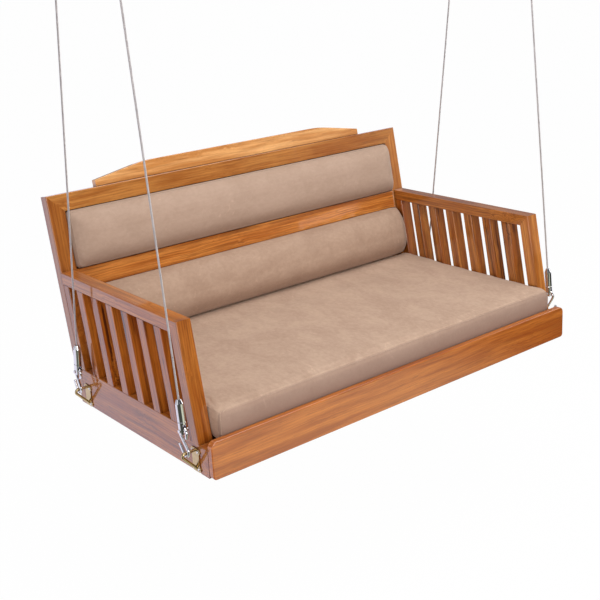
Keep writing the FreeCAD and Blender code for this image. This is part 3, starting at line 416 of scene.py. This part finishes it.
# how light each board is, how much dark streaking and curled grain it has, how yellow it is, and for the
# slats how much lacquer their faces to the front and back have. The crest's light, pale tone is partly its
# own and partly a painted reflection of lacquer glare
looks = {"crest_board": (1.5, 0.06, 1.0, 1.4), "back_top_rail": (0.93, 0.3, 1.0, 1.07),
         "front_lip_board": (0.97, 0.24, 0.4, 0.79), "back_middle_rail": (1.38, 0.6, 0.8, 1.0),
         "back_stile_left": (0.75, 0.5, 1.0, 0.9), "back_stile_right": (1.02, 0.4, 0.6, 1.04),
         "arm_slats_left": (0.84, 1.5, 1.0, 0.77, 0.2), "arm_slats_right": (0.88, 1.0, 0.8, 0.94, 0.5),
         "front_post_left": (0.8, 0.6, 1.0, 0.85), "front_post_right": (1.08, 0.4, 0.7, 1.0),
         "arm_rail_left": (0.98, 0.6, 0.9, 0.9), "arm_rail_right": (0.88, 0.8, 0.9, 0.92)}
other_boards = (0.86, 0.6, 0.8, 0.85)
for boards, along in ways:
    for count, board in enumerate(boards):
        turn = count * 1.7 + len(board) * 0.31
        finish = teak(board, along, turn, *looks.get(board, other_boards))
        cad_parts[board].material_slots[0].material = finish

# Upholstery: brown suede over foam. The seat cushion is boxed, the back pad fills the upper opening
# of the back's frame and swells out of it, and the bolster is a half roll that stands on the seat.
suede_nap, given, made = group_of("suede_nap", {"Place": "Vector", "Pale": "Color", "Deep": "Color"},
                                  {"Color": "Color", "Roughness": "Float", "Height": "Float"})
brushed = add(suede_nap, "TexNoise", {"Vector": given["Place"], "Scale": 9.0, "Detail": 7.0,
                                      "Roughness": 0.68, "Distortion": 0.5})
weave = add(suede_nap, "TexNoise", {"Vector": given["Place"], "Scale": 90.0, "Detail": 4.0,
                                    "Roughness": 0.7})
fibre = add(suede_nap, "TexNoise", {"Vector": given["Place"], "Scale": 1400.0, "Detail": 2.0})
nap = add(suede_nap, "Mix", {0: 0.42, 2: ranged(suede_nap, brushed.outputs["Fac"], 0.33, 0.67),
                             3: ranged(suede_nap, weave.outputs["Fac"], 0.3, 0.7)})
cloth = mixed(suede_nap, nap.outputs[0], given["Deep"], given["Pale"])
cloth = mixed(suede_nap, times(suede_nap, ranged(suede_nap, fibre.outputs["Fac"], 0.4, 0.7), 0.14), cloth,
              given["Deep"])
scuff = add(suede_nap, "TexNoise", {"Vector": scaled(suede_nap, given["Place"], (1.6, 1, 1)), "Scale": 22.0,
                                    "Detail": 5.0, "Roughness": 0.65, "Distortion": 1.5})
cloth = mixed(suede_nap, times(suede_nap, ranged(suede_nap, scuff.outputs["Fac"], 0.6, 0.74), 0.5), cloth,
              scaled(suede_nap, given["Pale"], (1.22, 1.22, 1.22)))
suede_nap.links.new(cloth, made["Color"])
suede_nap.links.new(ranged(suede_nap, nap.outputs[0], 0, 1, 0.95, 0.8), made["Roughness"])
suede_nap.links.new(fibre.outputs["Fac"], made["Height"])


def suede(name, turn, stretch, pale=(0.545, 0.385, 0.285), deep=(0.41, 0.275, 0.2)):
    """brushed suede; stretch draws the marks of the brushing out along a side of the piece"""
    made, tree = bare_material("suede_" + name)
    place = add(tree, "Mapping", {"Vector": add(tree, "TexCoord").outputs["Object"], "Rotation": turn,
                                  "Scale": stretch})
    look = add(tree, "Group", node_tree=suede_nap)
    tree.links.new(place.outputs[0], look.inputs["Place"])
    look.inputs["Pale"].default_value = (*pale, 1)
    look.inputs["Deep"].default_value = (*deep, 1)
    seam = add(tree, "Attribute", attribute_name="seam").outputs["Fac"]
    fold_and_highlight = ranged(tree, seam, 0.0006, 0.0042, 1.0, 0.0)
    stitched = ranged(tree, seam, 0.0003, 0.0011, 1.0, 0.0)
    # painted shade: the cloth darkens to a deeper tone where the attribute says it lies in shade
    shade_share = add(tree, "Attribute", attribute_name="painted_shade").outputs["Fac"]
    shaded_tone = [c * share for c, share in zip(deep, (0.7, 0.66, 0.7))]
    colour = mixed(tree, shade_share, look.outputs["Color"], (*shaded_tone, 1))
    # painted highlight: a lighter band along each seam, where its raised fold would catch the light; the
    # fold is also raised in the bump
    colour = mixed(tree, times(tree, fold_and_highlight, 0.4), colour, (*[c * 1.15 for c in pale], 1))
    colour = mixed(tree, times(tree, stitched, 0.6), colour, (*[c * 0.45 for c in deep], 1))
    rise = add(tree, "Math", {0: times(tree, fold_and_highlight, 0.8), 1: stitched}, operation="SUBTRACT").outputs[0]
    sewn = add(tree, "Bump", {"Height": rise, "Strength": 0.8, "Distance": 0.0015})
    relief = add(tree, "Bump", {"Height": look.outputs["Height"], "Strength": 0.3, "Distance": 0.0006,
                                "Normal": sewn.outputs[0]})
    shader = add(tree, "BsdfPrincipled", {"Base Color": colour, "Roughness": look.outputs["Roughness"],
                                          "Normal": relief.outputs[0], "Specular IOR Level": 0.2,
                                          "Sheen Weight": 0.18, "Sheen Roughness": 0.45,
                                          "Sheen Tint": (0.95, 0.85, 0.75, 1)})
    add(tree, "OutputMaterial", {"Surface": shader.outputs[0]})
    return made


def finished_mesh(thing):
    """the mesh of an object with its modifiers on it"""
    return bpy.data.meshes.new_from_object(thing.evaluated_get(bpy.context.evaluated_depsgraph_get()))


def even_form(node, cell, inset):
    """the CAD form as an even closed mesh, drawn in a little all round"""
    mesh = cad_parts[node].data.copy()
    merged = bmesh.new()
    merged.from_mesh(mesh)
    bmesh.ops.remove_doubles(merged, verts=merged.verts, dist=0.00001)
    merged.to_mesh(mesh)
    merged.free()
    form = placed(node + "_form", mesh)
    even = form.modifiers.new("even", "REMESH")
    even.mode = "VOXEL"
    even.voxel_size = cell
    shown = finished_mesh(form)
    form.modifiers.clear()
    form.data = shown
    for vertex, spot in zip(shown.vertices, [v.co - v.normal * inset for v in shown.vertices]):
        vertex.co = spot
    return form


cloth_frames = 20


def swell(form, pressure, slack, cap):
    """cloth round the foam: blown up a little with slack in it, and nowhere further than the cap"""
    start = [v.co.copy() for v in form.data.vertices]
    cover = form.modifiers.new("cover", "CLOTH")
    cover.settings.quality = 3
    cover.settings.mass = 0.3
    cover.settings.tension_stiffness = cover.settings.compression_stiffness = 12
    cover.settings.shear_stiffness = 5
    cover.settings.bending_stiffness = 0.4
    cover.settings.use_pressure = True
    cover.settings.uniform_pressure_force = pressure
    cover.settings.shrink_min = -slack
    cover.settings.effector_weights.gravity = 0
    cover.point_cache.frame_start = 1
    cover.point_cache.frame_end = cloth_frames
    for step in range(1, cloth_frames + 1):
        scene.frame_set(step)
    blown = form.evaluated_get(bpy.context.evaluated_depsgraph_get()).to_mesh()
    spots = [v.co.copy() for v in blown.vertices]
    form.evaluated_get(bpy.context.evaluated_depsgraph_get()).to_mesh_clear()
    form.modifiers.clear()
    for vertex, spot, first in zip(form.data.vertices, spots, start):
        moved = spot - first
        if moved.length > cap:
            moved *= cap / moved.length
        vertex.co = first + moved
    scene.frame_set(1)


def fill_out(form, node, proud):
    """nowhere slimmer than the CAD form, and nowhere more than a little proud of it"""
    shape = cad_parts[node].data
    skin = BVHTree.FromPolygons([v.co for v in shape.vertices], [tuple(f.vertices) for f in shape.polygons])
    for vertex in form.data.vertices:
        spot, out, _, _ = skin.find_nearest(vertex.co)
        height = (vertex.co - spot).dot(out)
        if height < 0:
            vertex.co = spot
        elif (vertex.co - spot).length > proud:
            vertex.co = spot + (vertex.co - spot).normalized() * proud


def sharpen(one, two, wide, tight):
    """draws a soft edge between two faces out to a tighter one; one and two are the depths below them"""
    u, v = wide - one, wide - two
    reach = math.hypot(u, v)
    if u <= 0 or v <= 0 or reach < 1e-6:
        return one, two
    cos, sin = u / reach, v / reach
    flat = wide - tight
    if wide * min(cos, sin) <= flat * max(cos, sin):
        edge = wide / max(cos, sin)
    else:
        edge = flat * (cos + sin) + math.sqrt(max(0.0, tight ** 2 - flat ** 2 * (cos - sin) ** 2))
    drawn = reach * (1 + (edge / wide - 1) * min(1.0, reach / wide) ** 2)
    return wide - drawn * cos, wide - drawn * sin


seam_far = 0.05


def upholster(form, name, node, finish, seam_at, shade_at):
    """smooth the swollen form, mark its seams and its painted shade, and put it on the bench"""
    fine = form.modifiers.new("fine", "SUBSURF")
    fine.levels = fine.render_levels = 1
    mesh = finished_mesh(form)
    bpy.data.objects.remove(form)
    seam = mesh.attributes.new("seam", "FLOAT", "POINT")
    shade_share = mesh.attributes.new("painted_shade", "FLOAT", "POINT")
    for vertex in mesh.vertices:
        seam.data[vertex.index].value = min(seam_far, seam_at(vertex.co))
        shade_share.data[vertex.index].value = max(0.0, min(1.0, shade_at(vertex.co)))
    for face in mesh.polygons:
        face.use_smooth = True
    mesh.materials.clear()
    mesh.materials.append(finish)
    piece = placed(name, mesh)
    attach(piece, "bench")
    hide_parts(node)


# Seat cushion: a boxed block 100 mm tall between the arms, behind the lip board. Its cover is sewn
# from a top, a bottom and a strip round the sides, with a plain seam along each edge and corner.
from_bench = bench.inverted()
seat_half, seat_front, seat_foot, seat_edge = 0.7124, 0.0232, 0.0873, 0.1858
seat_rear, seat_rake, top_proud = 0.7438, 0.18, 0.0015
# how far a seam is felt, where the strips begin below the top's edge, and how dark the front strip's painted
# shade is
seam_reach, seam_deep = 0.03, 0.004
strip_top, strip_deep, strip_shade = 0.006, 0.012, 0.65
# painted shade: the sides darken towards their foot from this far below the top's edge, at this rate
seat_shade_from, seat_shade_rate = 0.03, 7
# how round the foam form is at its upright and its top edges, and how round the sewn cover is there
foam_upright, sewn_upright = 0.026, 0.009
foam_top, sewn_top = 0.015, 0.006
pucker_tall, pucker_wide, puckers_a_metre = 0.0011, 0.06, 26
# where the top rises to the bolster, and how high it is under it
rise_from, rise_long, rise_rim = 0.53, 0.08, 0.02
under_roll, roll_stands = 0.1924, 0.6


def rear_face(height):
    """how far back the cushion's raked rear face is at a height"""
    return seat_rear + (height - seat_foot) * seat_rake


def seat_sides(local):
    """depths below the cushion's end, front and rear faces"""
    return seat_half - abs(local.x), local.y - seat_front, rear_face(local.z) - local.y


def seat_seam(spot):
    """distance from the seams along the top's edge, the bottom's edge and the upright corners"""
    local = from_bench @ spot
    depths = seat_sides(local)
    side, top, foot = min(depths), max(0.0, seat_edge - local.z), local.z - seat_foot
    if side > seam_reach:
        return seam_far
    seams = [abs(side - top), abs(side - foot)]
    for other in depths[1:]:
        if max(depths[0], other) < seam_reach and top > seam_deep:
            seams.append(abs(depths[0] - other))
    return min(seams)


def seat_shade(spot):
    """painted shade: the front strip is darker, and the sides darken towards their foot"""
    local = from_bench @ spot
    strip = local.z < seat_edge - strip_top and local.y - seat_front < strip_deep
    return strip_shade * strip + (seat_edge - seat_shade_from - local.z) * seat_shade_rate


seat = even_form("seat_cushion", cell=0.008, inset=0.002)
swell(seat, pressure=3.0, slack=0.012, cap=0.008)
fill_out(seat, "seat_cushion", proud=0.0035)
for vertex in seat.data.vertices:
    local = from_bench @ vertex.co
    hand = math.copysign(1, local.x)
    end, front, rear = seat_sides(local)
    pucker = noise.noise(Vector((local.x * puckers_a_metre, local.y * puckers_a_metre, 3))) * pucker_tall
    pucker *= max(0.0, 1 - min(end, front) / pucker_wide)
    lift = -pucker if local.z > seat_edge else 0.0
    sharp_end, sharp_front = sharpen(end, front, foam_upright, sewn_upright)
    local.x, local.y = hand * (seat_half - sharp_end), seat_front + sharp_front
    sharp_end, sharp_rear = sharpen(sharp_end, rear, foam_upright, sewn_upright)
    local.x, local.y = hand * (seat_half - sharp_end), local.y + rear - sharp_rear
    top = seat_edge + top_proud - local.z
    if sharp_front <= min(sharp_end, sharp_rear):
        inward, low = sharpen(sharp_front, top, foam_top, sewn_top)
        local.y, local.z = seat_front + inward, local.z + top - low
    elif sharp_end < sharp_rear:
        inward, low = sharpen(sharp_end, top, foam_top, sewn_top)
        local.x, local.z = hand * (seat_half - inward), local.z + top - low
    local.x = max(-seat_half, min(seat_half, local.x))
    local.y = max(seat_front, min(rear_face(local.z), local.y))
    local.z = max(seat_foot, local.z + lift)
    if top < seam_deep:
        from_rim = (min(seat_sides(local)) - seam_deep) / rise_rim
        local.z += (under_roll - local.z) * max(0.0, min(1.0, (local.y - rise_from) / rise_long, from_rim))
    if local.y > roll_stands:
        local.z = min(local.z, under_roll)
    vertex.co = bench @ local
upholster(seat, "seat_cushion_cover", "seat_cushion", suede("seat", (0, 0, 0), (1.0, 0.6, 1.0)), seat_seam,
          seat_shade)

# Back pad: a flat foam pad with rounded edges, held in the frame's upper opening. Its front and its
# border are sewn together just outside the frame.
back_foot = 0.7296
to_back = bench @ Matrix.Translation((0, back_foot, 0)) @ Matrix.Rotation(-back_lean, 4, "X")
from_back = to_back.inverted()
pad_half, pad_foot, pad_top, pad_rear = 0.7035, 0.4422, 0.631, 0.0217
border_tall, border_wide = 0.016, 0.012
# painted shade: the pad darkens downwards from this height, at this rate
pad_shade_from, pad_shade_rate = 0.495, 6
pad_pale, pad_deep = (0.465, 0.33, 0.252), (0.395, 0.275, 0.205)


def pad_seam(spot):
    """distance from the seam between the pad's front and its border"""
    local = from_back @ spot
    near_edge = min(pad_half - abs(local.x), local.z - pad_foot, pad_top - local.z)
    return abs(-local.y - border_tall) if near_edge < border_wide else seam_far


def pad_shade(spot):
    """painted shade: the pad's lower part darkens downwards"""
    return (pad_shade_from - (from_back @ spot).z) * pad_shade_rate


pad = even_form("back_pad", cell=0.0065, inset=0.002)
swell(pad, pressure=2.0, slack=0.004, cap=0.006)
fill_out(pad, "back_pad", proud=0.003)
for vertex in pad.data.vertices:
    local = from_back @ vertex.co
    local.x = max(-pad_half, min(pad_half, local.x))
    local.z = max(pad_foot, min(pad_top, local.z))
    local.y = min(pad_rear, local.y)
    vertex.co = to_back @ local
upholster(pad, "back_pad_cover", "back_pad", suede("pad", (lean, 0, 0), (0.7, 1, 1.2), pad_pale, pad_deep),
          pad_seam, pad_shade)

# Bolster: a half roll with sewn ends. It stands on the seat cushion, which flattens its underside,
# and leans on the back's middle rail.
roll_half, roll_rear, roll_hem = 0.7114, -0.0003, 0.006
# the cover is fuller than the foam from this height up, and it is flat where it stands on the seat
roll_full, full_from, full_long = 0.006, 0.28, 0.07
roll_gap, roll_squash = 0.0006, 0.024
# painted shade: the bolster darkens downwards from this height, at this rate
roll_shade_from, roll_shade_rate = 0.262, 7
roll_pale, roll_deep = (0.475, 0.33, 0.24), (0.37, 0.245, 0.175)


def roll_seam(spot):
    """distance from the seams round the bolster's ends"""
    return abs(roll_half - abs(spot.x) - roll_hem)


def roll_shade(spot):
    """painted shade: the bolster's lower part darkens downwards"""
    return (roll_shade_from - (from_back @ spot).z) * roll_shade_rate


roll = even_form("back_bolster", cell=0.0065, inset=0.002)
swell(roll, pressure=2.0, slack=0.004, cap=0.006)
fill_out(roll, "back_bolster", proud=0.003)
for vertex in roll.data.vertices:
    local = from_back @ vertex.co
    rise = max(0.0, min(1.0, (local.z - full_from) / full_long))
    local.z += roll_full * rise * rise * (3 - 2 * rise)
    local.x = max(-roll_half, min(roll_half, local.x))
    local.y = min(roll_rear, local.y)
    on_seat = from_bench @ (to_back @ local)
    height = on_seat.z - under_roll - roll_gap
    if height < roll_squash:
        height = max(0.0, height) ** 2 / roll_squash
    on_seat.z = under_roll + roll_gap + height
    vertex.co = bench @ on_seat
upholster(roll, "back_bolster_cover", "back_bolster",
          suede("roll", (lean, 0, 0), (0.8, 1, 1.0), roll_pale, roll_deep), roll_seam, roll_shade)

# Fittings: chromed clevises, pins, hooks and ceiling eyes, and yellow zinc brackets with their bars
# welded to a lobed plate.
chrome = finish_of("polished_steel", (0.88, 0.87, 0.88), rough=0.08, dull=0.9)
zinc = finish_of("yellow_zinc", (0.82, 0.63, 0.34), rough=0.2, dull=0.5)
chromed = ("hook_", "lower_clevis_", "lower_pin_", "upper_clevis_", "upper_pin_", "ceiling_eye_")
for name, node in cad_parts.items():
    if name.startswith("bracket_") and name != "bracket_screws":
        node.material_slots[0].material = zinc
    elif name.startswith(chromed):
        node.material_slots[0].material = chrome

# Screws: pan-head wood screws with a cross recess, four in each bracket's plate. Their shanks are in
# the side rails.
head_wide, head_tall, head_ease, ease_steps = 0.0042, 0.0024, 0.0014, 4
shank_wide, shank_deep, tip_long = 0.002, 0.028, 0.004
recess_long, recess_wide, recess_deep, recess_taper = 0.0022, 0.00045, 0.0013, 0.45
cutter_proud, round_steps, sharp_above = 0.001, 24, math.radians(32)
side_line = [(-shank_deep, 0), (-shank_deep + tip_long, shank_wide), (0, shank_wide), (0, head_wide),
             (head_tall - head_ease, head_wide)]
for step in range(1, ease_steps + 1):
    bend = math.pi / 2 * step / ease_steps
    side_line.append((head_tall - head_ease * (1 - math.sin(bend)),
                      head_wide - head_ease * (1 - math.cos(bend))))
side_line.append((head_tall, 0))
turned = bmesh.new()
profile = [turned.verts.new((x, out, 0)) for x, out in side_line]
edges = [turned.edges.new(pair) for pair in zip(profile, profile[1:])]
bmesh.ops.spin(turned, geom=profile + edges, cent=(0, 0, 0), axis=(1, 0, 0), angle=2 * math.pi,
               steps=round_steps, use_merge=True)
bmesh.ops.remove_doubles(turned, verts=turned.verts, dist=0.000005)
bmesh.ops.recalc_face_normals(turned, faces=turned.faces)
one_screw = bpy.data.meshes.new("screw")
turned.to_mesh(one_screw)
turned.free()
cross = bmesh.new()
arms = []
for quarter in range(4):
    quarter_turn = Matrix.Rotation(-quarter * math.pi / 2, 2)
    for corner in ((recess_wide, recess_wide), (recess_long, recess_wide), (recess_long, -recess_wide)):
        arms.append(cross.verts.new((head_tall + cutter_proud, *(quarter_turn @ Vector(corner)))))
recess = cross.faces.new(arms)
bmesh.ops.recalc_face_normals(cross, faces=cross.faces)
sunk = bmesh.ops.extrude_face_region(cross, geom=[recess])["geom"]
for vertex in sunk:
    if isinstance(vertex, bmesh.types.BMVert):
        vertex.co = (head_tall - recess_deep, vertex.co.y * recess_taper, vertex.co.z * recess_taper)
bmesh.ops.recalc_face_normals(cross, faces=cross.faces)
cut_mesh = bpy.data.meshes.new("recess")
cross.to_mesh(cut_mesh)
cross.free()
blank = placed("screw_blank", one_screw)
cutter = placed("recess_cutter", cut_mesh)
cut = blank.modifiers.new("recess", "BOOLEAN")
cut.operation, cut.solver, cut.object = "DIFFERENCE", "EXACT", cutter
whole = finished_mesh(blank)
for thing in (blank, cutter):
    bpy.data.objects.remove(thing)
plate_face, plate_middle, loop_front, loop_rear = 0.765, 0.039, 0.082, 0.712
screw_out, screw_up, turn_apart = 0.013, 0.027, 0.83
spots = product((-1, 1), (loop_front, loop_rear), (-screw_out, screw_out), (-screw_up, screw_up))
driven = bmesh.new()
for count, (hand, loop, out, up) in enumerate(spots):
    spot = Vector((hand * plate_face, loop + out, plate_middle + up))
    place = bench @ Matrix.Translation(spot) @ Matrix.Rotation(0 if hand > 0 else math.pi, 4, "Z")
    place = place @ Matrix.Rotation(count * turn_apart, 4, "X")
    first = len(driven.verts)
    driven.from_mesh(whole)
    driven.verts.ensure_lookup_table()
    bmesh.ops.transform(driven, matrix=place, verts=driven.verts[first:])
screws_mesh = bpy.data.meshes.new("pan_head_screws")
driven.to_mesh(screws_mesh)
driven.free()
for face in screws_mesh.polygons:
    face.use_smooth = True
screws_mesh.set_sharp_from_angle(angle=sharp_above)
screws_mesh.materials.append(chrome)
screws = placed("pan_head_screws", screws_mesh)
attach(screws, "bench")
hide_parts("bracket_screws")
